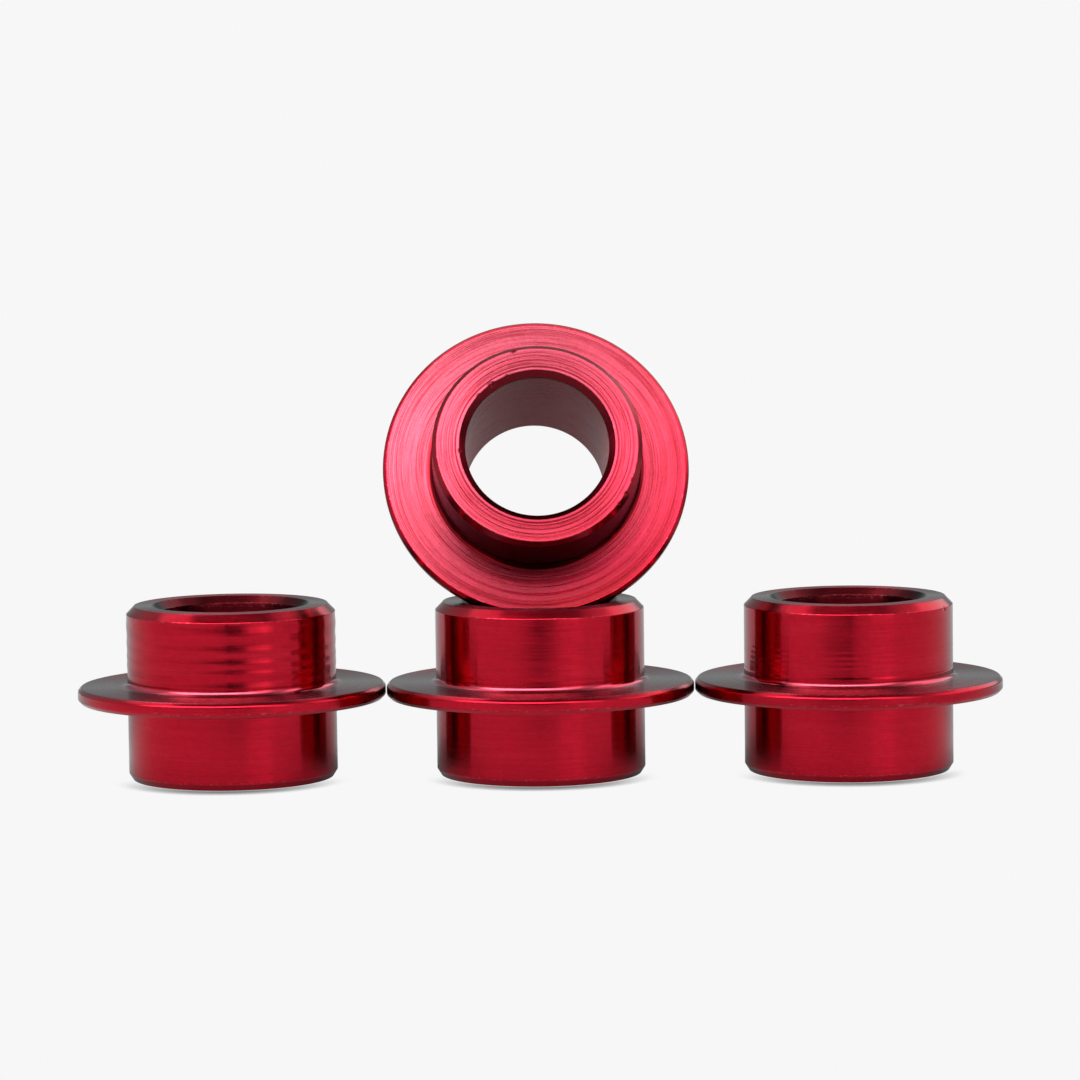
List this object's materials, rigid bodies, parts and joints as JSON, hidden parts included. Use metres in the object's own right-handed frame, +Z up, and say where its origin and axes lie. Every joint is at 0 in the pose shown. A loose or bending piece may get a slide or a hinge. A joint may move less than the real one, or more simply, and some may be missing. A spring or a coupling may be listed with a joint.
{
  "type": "flanged hub spacer set",
  "caption": "Set of turned, red anodised flanged hub spacers: rims side by side in a row, another lying tilted on the middle one, each a boss, thin flange, boss and open bore.",
  "frame": {"origin": "bottom centre of the set's bounding box; the row's bore axes stand on the plane Y = -0.176 mm", "axes": "+X runs along the row from spacer_left to spacer_right, as seen from the front; +Y points away from the viewer; +Z is up, along the standing spacers' bores"},
  "size_m": [0.0532, 0.018, 0.0256],
  "materials": {
    "spacer_center_anodised": "turned, then red anodised",
    "spacer_left_anodised": "turned, then red anodised",
    "spacer_right_anodised": "turned, then red anodised",
    "spacer_top_anodised": "turned, then red anodised"
  },
  "bodies": {
    "center": {"spacer_center": "spacer_center_anodised"},
    "left": {"spacer_left": "spacer_left_anodised"},
    "right": {"spacer_right": "spacer_right_anodised"},
    "top": {"spacer_top": "spacer_top_anodised"}
  },
  "joints": [
    {"name": "left_slide_away", "type": "slide", "parent": "center", "child": "left", "axis": [-1, 0, 0], "range_m": [0, 0.02]},
    {"name": "right_slide_away", "type": "slide", "parent": "center", "child": "right", "axis": [1, 0, 0], "range_m": [0, 0.02]},
    {"name": "top_lift_off", "type": "slide", "parent": "center", "child": "top", "axis": [0, 0, 1], "range_m": [0, 0.02]}
  ]
}
